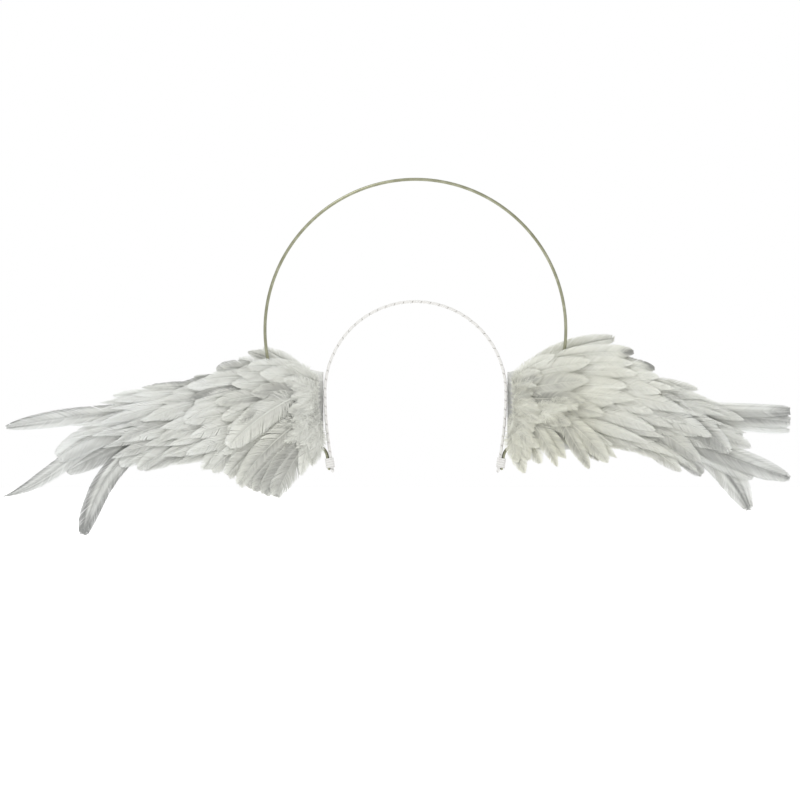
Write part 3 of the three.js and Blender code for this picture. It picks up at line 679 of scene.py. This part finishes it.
class Feathers:
    """Feathers of one wing that are made together.

    Each is a rachis along a bowed curve, which the value swing bends into an S, and a vane of barbs
    on each side. Half the vane's width is a power of a sine up to the widest place, and past it
    1 less a power fall of the way to the tip, all to the power blunt. Places along a feather are
    shares s of its length. The first axis of every array is the feathers.
    """

    def __init__(self, side, rows, sinks, facing):
        self.side, self.sinks, self.facing, self.count = side, sinks, facing, len(rows)
        self.values = {key: np.array([row[key] for row in rows], float) for key in rows[0]}
        base, tip = self.values["base"], self.values["tip"]
        run = tip - base
        middle = (base + tip) / 2 + left_of(run) * self.values["bow"][:, None] * 2
        self.curve = base, middle, tip, left_of(run) * self.values["swing"][:, None]
        self.values["length"] = np.hypot(run[:, 0], run[:, 1]) * WING_LENGTH
        self.values["half"] = self.values["width"] * WING_LENGTH / 2

    def get(self, key, like):
        """One value of each feather, with as many axes as like has."""
        return self.values[key].reshape((-1,) + (1,) * (like.ndim - 1))

    def half_width(self, s):
        """Half width along a feather as a share of its widest half."""
        s = np.clip(s, 0, 1)
        full, rise, fall, blunt = (self.get(key, s) for key in ("full", "rise", "fall", "blunt"))
        grow = np.sin(np.pi / 2 * np.minimum(1, s / full)) ** rise
        past = np.clip((s - full) / (1 - full), 0, 1)
        return grow * np.clip(1 - past ** fall, 0, 1) ** blunt

    def centre(self, s):
        """Point in millimetres, unit direction and unit normal of each rachis at s."""
        pick = (slice(None),) + (None,) * (s.ndim - 1)
        *line, bend = [p[pick + (slice(None),)] for p in self.curve]
        t = s[..., None]
        point = bezier(line, t) + 4 * t * (1 - t) * (2 * t - 1) * bend
        ahead = (1 - t) * (line[1] - line[0]) + t * (line[2] - line[1]) + 2 * (6 * t * (1 - t) - 1) * bend
        ahead = ahead / np.linalg.norm(ahead, axis=-1, keepdims=True)
        return point * WING_LENGTH, ahead, left_of(ahead)

    def placed(self, plan, s, across, proud):
        """Plan point and how far it stands proud of its feather, as a point of the wing.

        Its depth adds the layer, the lift of the tip, the camber across the vane and the twist that
        laps one feather over the next.
        """
        rise = np.clip(s / QUILL_RISE, 0, 1)
        depth = self.get("seat", s) + (self.get("depth", s) - self.get("seat", s)) * rise
        lift = self.get("lift", s) * np.clip(s, 0, 1.1) ** 2 + proud
        camber = self.get("camber", s) * (across / self.get("half", s)) ** 2
        depth = depth + self.facing * (lift - camber) + self.get("twist", s) * across * rise
        x = ROOT_X + plan[..., 0]
        y = depth + sweep(x) + (sink(plan[..., 0] / WING_LENGTH) if self.sinks else 0)
        return np.stack([SIGN[self.side] * x, y, plan[..., 1] - WING_DROP], -1)

    def add_rachis(self, heap):
        """Adds each feather's rachis: a tapering tube that stands a little proud of the vane."""
        s = np.linspace(0, RACHIS_END, RACHIS_STATIONS)[None, :, None] + np.zeros((self.count, 1, 1))
        point, _, normal = self.centre(s)
        radius = self.get("rachis", s) * (1 - RACHIS_TAPER * s)
        turn = np.arange(RACHIS_SIDES) * 2 * math.pi / RACHIS_SIDES
        across = radius * np.cos(turn)
        plan = point + normal * across[..., None]
        proud = radius * (RACHIS_DOME * np.sin(turn) + RACHIS_PROUD)
        rings = self.placed(plan, s + 0 * turn, across, proud)
        tone = self.get("tone", s) + self.get("shaft", s) + 0 * across
        heap.add(rings, uv_grid(s, 0.5 + 0.02 * np.cos(turn)), tone)

    def barb_tones(self, random, s, v, hand, shade):
        """Tones along each barb: the feather's own, the painted highlight and shade of its rims, the painted
        shade at its root, its tip's tone and painted shade, the painted light and shade of its sides, and its
        streaks.
        """
        rim_from = self.get("rim_from", s)
        rim = np.clip((v - rim_from) / (1 - rim_from), 0, 1)
        rim_tone = np.where(hand > 0, self.get("upper_rim", s), self.get("lower_rim", s))
        root_shade = self.get("root_shade", s) * np.clip(1 - s / ROOT_SHADE_END, 0, 1)
        tip_tone = self.get("tip_tone", s) * np.clip((s - TIP_TONE_FROM) / TIP_TONE_LENGTH, 0, 1)
        tone = self.get("tone", s) + rim_tone * rim - root_shade
        tone = tone + tip_tone + shade * (1 - RIM_EVENNESS * rim)
        tone = tone + self.get("side_tone", s) * hand * np.clip(v * 2, 0, 1)
        return tone + self.get("streak", s) * streaks(random, s, len(v))

    def add_barbs(self, heap, random, barbs, fluff, v):
        """Adds the barbs of both sides of each feather.

        A barb starts on the rachis, runs out and forward to the vane's edge through the stations v,
        and is a flat four-edged strip a little wider than the space to the next barb, so the vane
        stays closed until a clump leans away and leaves a split. Barbs below the share fluff of
        the length are downy: thin, curled and standing off the vane.
        """
        grid = (self.count, 2, barbs)
        share = BARBS_FROM + (RACHIS_END - BARBS_FROM) * (np.arange(barbs) + 0.5) / barbs
        start = share + random.normal(scale=BARB_SHIFT / barbs, size=grid)
        ragged = self.get("ragged", start)
        lean = ragged * sum(clumps(random, grid, size) * far for size, far in LEAN_CLUMPS)
        uneven = clumps(random, grid, TRIM_CLUMP) * TRIM_BY_CLUMP
        uneven = uneven + random.normal(scale=TRIM_BY_BARB, size=grid)
        trim = 1 + ragged * uneven
        shade = clumps(random, grid, SHADE_CLUMP) * SHADE_SPREAD
        shade = shade + random.normal(scale=SHADE_SPREAD, size=grid)
        soft = np.clip((fluff - start) / fluff, 0, 1)
        span, half, slant = (self.get(key, start) for key in ("length", "half", "slant"))
        left_over = np.maximum(1 - start, 0.012)
        reach = self.half_width(start + 0.05) * half * slant + LEAST_REACH
        step = left_over * (1 - np.exp(-reach / (span * left_over)))
        edge = self.half_width(start + step) * half * trim
        edge = np.maximum(edge, LEAST_EDGE * (1 - start)) * (1 + DOWN_WIDER * soft)

        per_barb = (step, edge, lean, soft, span, half, shade)
        step, edge, lean, soft, span, half, shade = (value[..., None] for value in per_barb)
        forward = v ** 1.25 * step * (1 - DOWN_STRAIGHTER * soft) + lean * v ** 2.2 / span
        curl = soft * np.sin(7 * v + 2 * math.pi * random.random(grid)[..., None])
        s = start[..., None] + forward + curl * DOWN_CURL / span
        hand = np.array([1.0, -1.0])[:, None, None]
        across = hand * edge * v ** 0.92
        pitch = (RACHIS_END - BARBS_FROM) / barbs * span
        broad = pitch * 0.5 * (STRIP_LAP - STRIP_TAPER * v ** 1.5) * (1 - DOWN_THINNER * soft)
        thick = between(STRIP_THICKNESS, v)
        puff = soft * v * between(DOWN_PUFF, random.random(grid)[..., None])
        point, ahead, normal = self.centre(np.clip(s, 0, 1))
        past = (s - np.clip(s, 0, 1)) * span
        plan = point + ahead * past[..., None] + normal * across[..., None]
        rings = self.placed(
            plan[..., None, :] + ahead[..., None, :] * (broad[..., None] * STRIP_AHEAD)[..., None],
            s[..., None] + 0 * STRIP_AHEAD, across[..., None] + 0 * STRIP_AHEAD,
            thick[..., None] * STRIP_HEIGHT + puff[..., None],
        )
        tones = self.barb_tones(random, s, v, hand, shade)[..., None] + 0 * STRIP_AHEAD
        uv = np.stack([s, 0.5 + 0.5 * across / half], -1)[..., None, :] + np.zeros((4, 2))
        strips = (-1, len(v), 4)
        heap.add(rings.reshape(strips + (3,)), uv.reshape(strips + (2,)), tones.reshape(strips))

    def add(self, heap, random, barbs, fluff=0.15, v=COVERT_STATIONS):
        """Adds the feathers to a heap."""
        self.add_rachis(heap)
        self.add_barbs(heap, random, barbs, fluff, v)


def feather_row(base, tip, width, bow, depth, **style):
    """One feather's values, with the usual shape and finish of a covert unless style says otherwise."""
    # The rims add a painted highlight, root_shade is painted shade at the root, the side value paints one
    # half of the vane lighter and the other darker, and the tip value adds a tone that is painted shade where
    # it is below zero.
    row = dict(
        COVERT, base=base, tip=tip, width=width, bow=bow, swing=0.0, depth=depth, seat=depth, lift=2.6,
        camber=0.7, twist=0.08, rachis=0.6, tone=0.5, shaft=0.08, upper_rim=0.42, lower_rim=0.42,
        rim_from=0.66, root_shade=0.06, tip_tone=0.10, side_tone=0.05, streak=0.06, slant=1.15, ragged=0.7,
    )
    row.update(style)
    return row


def covert_rows(random, row, start, depth, facing, shape):
    """A row of coverts spread evenly between its ends, with a little natural disorder."""
    count = row["count"]
    spread = np.linspace(0, 1, count)
    ups = between(row["quills"], spread)
    bases = np.stack([quill_out(start, ups), ups], -1)
    loose = np.ones(count)
    loose[[0, 1, -1]] = 0.25
    tips = bezier([np.array(p)[None] for p in row["tips"]], spread[:, None])
    tips = tips + random.normal(scale=0.010, size=(count, 2)) * loose[:, None]
    straggles = random.uniform(-0.06, 0.20, count) * (loose == 1) * row.get("straggle", 1.0)
    tips = tips + (tips - bases) * straggles[:, None]
    tones = between(row["tones"], spread)
    slim = 1 + random.normal(scale=0.10, size=count) * loose
    widths = between(row["widths"], spread) * slim * (1 - straggles)
    feathers = [
        feather_row(
            bases[i], tips[i], widths[i], 0.03 + random.normal(scale=0.014) * loose[i],
            depth + facing * (0.3 + 0.3 * (i % 2)),
            lift=1.5 + random.normal(scale=0.5), twist=facing * (0.05 + random.normal(scale=0.03)),
            tone=tones[i] + random.normal(scale=0.10), slant=1.3 + random.normal(scale=0.1),
            # Both rims get a painted highlight, and the two sides of the vane painted light and shade.
            upper_rim=0.40 + random.normal(scale=0.12), lower_rim=0.34 + random.normal(scale=0.12),
            side_tone=random.normal(scale=0.06), **shape,
        )
        for i in range(count)
    ]
    feathers[0].update(row.get("leader", {}))
    return feathers


def row_back(index):
    """Depth of a front row's back face, counted from the innermost row."""
    return OUTERMOST_ROW - (LAST_ROW - index) * ROW_PITCH


def build_rows(side, rows, first_seed, material):
    """The rows of coverts in front of the pad or behind it, one piece for each row."""
    for index, row in enumerate(rows):
        random = np.random.default_rng(first_seed + index)
        behind = "start" in row
        facing = 1.0 if behind else -1.0
        start = row.get("start", index)
        depth = PAD_BACK + index * ROW_PITCH + FEATHER_GAP if behind else row_back(index)
        shape = COVERT if start < 1.5 else LONG_COVERT
        feathers = covert_rows(random, row, start, depth, facing, shape)
        feathers += [
            # Accents, whose rim values are painted highlights above zero and painted shade below.
            feather_row(
                (a, b), (c, d), width, bow, depth + facing * ACCENT_OVER, lift=1.9, twist=facing * 0.05,
                tone=tone, blunt=blunt, upper_rim=upper, lower_rim=lower, slant=1.3,
            )
            for name, a, b, c, d, width, bow, blunt, tone, upper, lower in ACCENTS[side]
            if name == row["name"]
        ]
        heap = Heap()
        Feathers(side, feathers, not behind, facing).add(heap, random, COVERT_BARBS)
        node = f"{side}_{row['name']}"
        heap.make(f"{node}_feathers", material, node)


def root_covers(random):
    """Small feathers in a fan along the inner edge of a wing, each a little lower and more turned down."""
    spread = np.linspace(0, 1, COVER_COUNT)
    up = between(COVER_UP, spread)
    turn = between(COVER_TURN, spread) + random.normal(scale=0.10, size=COVER_COUNT)
    length = COVER_LENGTH * (1 + random.normal(scale=0.12, size=COVER_COUNT))
    base = np.stack([COVER_OUT + 0 * up, up], -1)
    tip = base + length[:, None] * heading(turn)
    return [
        feather_row(
            base[i], tip[i], COVER_WIDTH, random.normal(scale=0.03),
            row_back(-1) - COVER_OVER - 0.35 * (i % 2), lift=1.2,
            twist=-0.06 + random.normal(scale=0.03), tone=0.44 + random.normal(scale=0.08),
            rachis=0.4, slant=1.5, root_shade=0.0, ragged=1.0, blunt=0.6,
        )
        for i in range(COVER_COUNT)
    ]


def root_down(random, side):
    """Loose curls of down that point away from the root."""
    base = np.stack([random.uniform(*ends[side], DOWN_COUNT) for ends in (DOWN_OUT, DOWN_UP)], -1)
    turn = np.arctan2(base[:, 1] - 0.04, base[:, 0] + 0.03) + random.normal(scale=0.35, size=DOWN_COUNT)
    length = random.uniform(*DOWN_LENGTH, DOWN_COUNT)
    tip = base + length[:, None] * heading(turn)
    return [
        feather_row(
            base[i], tip[i], 0.42 * length[i], random.normal(scale=0.14),
            row_back(-1) - DOWN_OVER - 0.3 * (i % 3), lift=1.2, twist=random.normal(scale=0.12),
            tone=0.74 + random.normal(scale=0.08), rachis=0.35, slant=1.6, root_shade=0.0, ragged=1.0, **DOWN,
        )
        for i in range(DOWN_COUNT)
    ]


def build_root(side, seed, material):
    """The feathers that cover the root, with a good deal of down at their bases."""
    random = np.random.default_rng(seed)
    rows = [
        feather_row(
            (a, b), (c, d), width, bow, row_back(-1) - ROOT_OVER - 0.35 * (i % 3), lift=2.4,
            tone=tone, blunt=blunt, twist=-0.06 + random.normal(scale=0.03),
        )
        for i, (a, b, c, d, width, bow, blunt, tone) in enumerate(ROOT_FEATHERS[side])
    ]
    heap = Heap()
    Feathers(side, rows, True, -1.0).add(heap, random, ROOT_BARBS, 0.22)
    Feathers(side, root_down(random, side), True, -1.0).add(heap, random, DOWN_BARBS, 0.75)
    Feathers(side, root_covers(random), True, -1.0).add(heap, random, DOWN_BARBS, 0.30)
    heap.make(f"{side}_root_feathers", material, f"{side}_root")


def build_flights(side, first_seed, material):
    """The long flight feathers, each on its own layer and with its own piece."""
    seat = FIRST_FLIGHT - FLIGHT_SEAT
    for i, (a, b, c, d, width, bow, swing, layer, *finish) in enumerate(FLIGHTS[side]):
        random = np.random.default_rng(first_seed + i)
        blunt, tone, tip_tone, upper, lower = finish
        # The tip and rim values paint shade below zero and a highlight above it.
        row = feather_row(
            (a, b), (c, d), width, bow, FIRST_FLIGHT - layer * FLIGHT_PITCH - FLIGHT_SEAT, seat=seat,
            lift=0.5, camber=0.6, twist=0.0, rachis=1.0, tone=tone, slant=1.9, shaft=-0.14, blunt=blunt,
            upper_rim=upper, lower_rim=lower, rim_from=0.45, root_shade=0.0, tip_tone=tip_tone,
            side_tone=random.normal(scale=0.04), streak=0.15, ragged=0.3, swing=swing, **FLIGHT,
        )
        heap = Heap()
        Feathers(side, [row], False, -1.0).add(heap, random, FLIGHT_BARBS, 0.05, FLIGHT_STATIONS)
        heap.make(f"{side}_flight_{i + 1}_feather", material, f"{side}_flight_{i + 1}")


def build_wing(side, feather, felt):
    """One wing: pad, rows in front and behind, root and flight feathers."""
    seed = SEEDS[side]
    build_pad(side, felt)
    build_rows(side, FRONT_ROWS[side], seed, feather)
    build_rows(side, BACK_ROWS[side], seed + BACK_SEED, feather)
    build_root(side, seed + ROOT_SEED, feather)
    build_flights(side, seed + FLIGHT_SEED, feather)


# Materials. Lengths in this part are metres.

AGE_CENTRE = (0.11, -0.11)
AGE_REACH = 0.20
AGE_PATCH_SCALE = 25.0
AGE_LEAST = 0.08
AGE_LEFT_WING = 0.55


def principled(name, colour, roughness, **sockets):
    """A material with its shader's own sockets set, and its node tree and shader."""
    material = bpy.data.materials.new(name)
    material.use_nodes = True
    shader = material.node_tree.nodes["Principled BSDF"]
    shader.inputs["Base Color"].default_value = (*colour, 1)
    shader.inputs["Roughness"].default_value = roughness
    for socket, value in sockets.items():
        shader.inputs[socket.replace("_", " ")].default_value = value
    return material, material.node_tree, shader


def add_noise(tree, source, scale, detail=2.0, stretch=(1, 1, 1)):
    """Noise over object or UV coordinates, stretched by a mapping."""
    coords = tree.nodes.new("ShaderNodeTexCoord")
    mapping = tree.nodes.new("ShaderNodeMapping")
    mapping.inputs["Scale"].default_value = stretch
    noise = tree.nodes.new("ShaderNodeTexNoise")
    noise.inputs["Scale"].default_value = scale
    noise.inputs["Detail"].default_value = detail
    tree.links.new(coords.outputs[source], mapping.inputs["Vector"])
    tree.links.new(mapping.outputs["Vector"], noise.inputs["Vector"])
    return noise.outputs["Fac"]


def add_tone(tree):
    """The tone attribute of the mesh."""
    tone = tree.nodes.new("ShaderNodeAttribute")
    tone.attribute_name = "tone"
    return tone.outputs["Fac"]


def add_ramp(tree, value, stops):
    """Colour that follows a value through the given stops."""
    ramp = tree.nodes.new("ShaderNodeValToRGB")
    stops_in = ramp.color_ramp.elements
    for place, _ in stops[1:-1]:
        stops_in.new(place)
    for element, (place, colour) in zip(stops_in, stops):
        element.position = place
        element.color = (*colour, 1)
    tree.links.new(value, ramp.inputs["Fac"])
    return ramp.outputs["Color"]


def add_bump(tree, shader, height, strength, distance):
    """Bumps the shader's normal by a height. The distance is in metres."""
    bump = tree.nodes.new("ShaderNodeBump")
    bump.inputs["Strength"].default_value = strength
    bump.inputs["Distance"].default_value = distance
    tree.links.new(height, bump.inputs["Height"])
    tree.links.new(bump.outputs["Normal"], shader.inputs["Normal"])


def add_math(tree, operation, *values):
    """A maths node. A value that is a number is set on its input, and any other is linked to it."""
    node = tree.nodes.new("ShaderNodeMath")
    node.operation = operation
    for socket, value in zip(node.inputs, values):
        if isinstance(value, (int, float)):
            socket.default_value = value
        else:
            tree.links.new(value, socket)
    return node.outputs["Value"]


def add_multiply(tree, one, other):
    """The product of two colours."""
    mix = tree.nodes.new("ShaderNodeMix")
    mix.data_type = "RGBA"
    mix.blend_type = "MULTIPLY"
    mix.inputs["Factor"].default_value = 1.0
    colours = [socket for socket in mix.inputs if socket.type == "RGBA"]
    for socket, colour in zip(colours, (one, other)):
        tree.links.new(colour, socket)
    return [socket for socket in mix.outputs if socket.type == "RGBA"][0]


def add_age(tree, colour):
    """Yellows the colour round the lower root of each wing and in soft patches, the right wing more."""
    coords = tree.nodes.new("ShaderNodeTexCoord")
    split = tree.nodes.new("ShaderNodeSeparateXYZ")
    tree.links.new(coords.outputs["Object"], split.inputs["Vector"])
    across = add_math(tree, "SUBTRACT", add_math(tree, "ABSOLUTE", split.outputs["X"]), AGE_CENTRE[0])
    up = add_math(tree, "SUBTRACT", split.outputs["Z"], AGE_CENTRE[1])
    squares = [add_math(tree, "MULTIPLY", value, value) for value in (across, up)]
    away = add_math(tree, "SQRT", add_math(tree, "ADD", *squares))
    near = add_math(tree, "SUBTRACT", 1.0, add_math(tree, "DIVIDE", away, AGE_REACH))
    patch = add_math(tree, "MULTIPLY_ADD", add_noise(tree, "Object", AGE_PATCH_SCALE), 0.7, -0.35)
    amount = add_math(tree, "MAXIMUM", add_math(tree, "ADD", near, patch), AGE_LEAST)
    right = add_math(tree, "MINIMUM", add_math(tree, "MULTIPLY_ADD", split.outputs["X"], 5.0, 0.8), 1.0)
    share = add_math(tree, "MULTIPLY", amount, add_math(tree, "MAXIMUM", right, AGE_LEFT_WING))
    yellow = add_ramp(tree, share, [(0.0, (1, 1, 1)), (1.0, (0.995, 0.978, 0.875))])
    return add_multiply(tree, colour, yellow)


def feather_material():
    """Goose feather: the tone attribute, which holds the feathers' own greys together with painted highlights
    and shade, picks a grey to a white, and some light comes through.
    """
    material, tree, shader = principled("feather", (0.6, 0.6, 0.58), 0.6)
    colour = add_ramp(tree, add_tone(tree), [
        (0.0, (0.34, 0.346, 0.337)), (0.25, (0.58, 0.588, 0.573)), (0.5, (0.77, 0.782, 0.762)),
        (0.8, (0.88, 0.895, 0.882)), (1.0, (0.935, 0.95, 0.948)),
    ])
    colour = add_age(tree, colour)
    tree.links.new(colour, shader.inputs["Base Color"])
    add_bump(tree, shader, add_noise(tree, "Object", 900.0), 0.12, 0.0002)
    through = tree.nodes.new("ShaderNodeBsdfTranslucent")
    tree.links.new(colour, through.inputs["Color"])
    mix = tree.nodes.new("ShaderNodeMixShader")
    mix.inputs["Fac"].default_value = 0.26
    tree.links.new(shader.outputs["BSDF"], mix.inputs[1])
    tree.links.new(through.outputs["BSDF"], mix.inputs[2])
    tree.links.new(mix.outputs["Shader"], tree.nodes["Material Output"].inputs["Surface"])
    return material


def gold_material():
    """Pale gold wire, slightly tarnished in patches and drawn along its length."""
    material, tree, shader = principled("gold_wire", (0.42, 0.39, 0.24), 0.36, Metallic=1.0)
    colour = add_ramp(tree, add_noise(tree, "Object", 160.0, 4.0), [
        (0.30, (0.235, 0.236, 0.160)), (0.55, (0.30, 0.303, 0.215)), (0.75, (0.38, 0.38, 0.285)),
    ])
    tree.links.new(colour, shader.inputs["Base Color"])
    add_bump(tree, shader, add_noise(tree, "UV", 6.0, 2.0, (0.15, 8.0, 1.0)), 0.10, 0.0001)
    return material


def ribbon_material():
    """White satin ribbon with fine threads along it, a soft sheen and a shadow beside each lap."""
    material, tree, shader = principled("satin_ribbon", (0.70, 0.695, 0.67), 0.36, Sheen_Weight=0.25)
    colour = add_ramp(tree, add_noise(tree, "UV", 3.0, 3.0, (2.0, 6.0, 1.0)), [
        (0.3, (0.56, 0.55, 0.53)), (0.7, (0.68, 0.675, 0.655)),
    ])
    shadow = add_ramp(tree, add_tone(tree), [(0.0, (0.45, 0.44, 0.42)), (1.0, (1, 1, 1))])
    tree.links.new(add_multiply(tree, colour, shadow), shader.inputs["Base Color"])
    add_bump(tree, shader, add_noise(tree, "UV", 20.0, 2.0, (3.0, 0.6, 1.0)), 0.25, 0.0003)
    return material


def felt_material():
    """Pressed white felt: mottled colour and a fibrous surface."""
    material, tree, shader = principled("felt", (0.66, 0.665, 0.64), 0.95, Sheen_Weight=0.3)
    colour = add_ramp(tree, add_noise(tree, "Object", 420.0, 5.0), [
        (0.3, (0.62, 0.625, 0.60)), (0.7, (0.78, 0.785, 0.76)),
    ])
    tree.links.new(colour, shader.inputs["Base Color"])
    add_bump(tree, shader, add_noise(tree, "Object", 1400.0, 4.0), 0.5, 0.0004)
    return material


# Stage, lights and camera

PHOTO_SCALE = 0.8311
PHOTO_CENTRE_X = -12.8
PHOTO_CENTRE_Z = -80.6
PHOTO_PIXELS = 800
CAMERA_DISTANCE = 5.0
SENSOR = 36.0
FLOOR_Z = -0.36
FLOOR_HALF = 14.0
KEY_PLACE = (-0.9, -1.6, 1.9)
KEY_SIZE = 0.9
KEY_POWER = 20


def build_camera():
    """A camera straight in front, whose frame is the photo's at the plane of the band."""
    data = bpy.data.cameras.new("camera")
    data.sensor_width = SENSOR
    data.lens = SENSOR * CAMERA_DISTANCE / (PHOTO_PIXELS * PHOTO_SCALE * MM)
    camera = new_object("camera", data)
    camera.location = (PHOTO_CENTRE_X * MM, -CAMERA_DISTANCE, PHOTO_CENTRE_Z * MM)
    camera.rotation_euler = (math.pi / 2, 0, 0)
    bpy.context.scene.camera = camera


def build_light():
    """A round soft light that looks at the middle of the part."""
    data = bpy.data.lights.new("key", "AREA")
    data.shape = "DISK"
    data.size = KEY_SIZE
    data.energy = KEY_POWER
    light = new_object("key", data)
    light.location = KEY_PLACE
    aim = Vector((0, 0, PHOTO_CENTRE_Z * MM)) - Vector(KEY_PLACE)
    light.rotation_euler = aim.to_track_quat("-Z", "Y").to_euler()


def build_stage():
    """White surroundings and a white floor well below the part."""
    scene = bpy.context.scene
    scene.view_settings.view_transform = "Standard"
    world = bpy.data.worlds.new("studio")
    world.use_nodes = True
    sky = world.node_tree.nodes["Background"]
    sky.inputs["Color"].default_value = (1, 1, 1, 1)
    sky.inputs["Strength"].default_value = 1.0
    scene.world = world
    mesh = bpy.data.meshes.new("floor")
    corners = [(x * FLOOR_HALF, y * FLOOR_HALF, FLOOR_Z) for x, y in ((-1, -1), (1, -1), (1, 1), (-1, 1))]
    mesh.from_pydata(corners, [], [(0, 1, 2, 3)])
    paint, _, shader = principled("floor_paint", (0.97, 0.97, 0.97), 0.9, Emission_Strength=0.25)
    shader.inputs["Emission Color"].default_value = (1, 1, 1, 1)
    mesh.materials.append(paint)
    new_object("floor", mesh)


build_camera()
build_stage()
build_light()
feather, ribbon = feather_material(), ribbon_material()
build_halo(gold_material())
build_headband(ribbon)
felt = felt_material()
for side in SIGN:
    build_binding(side, ribbon)
    build_wing(side, feather, felt)
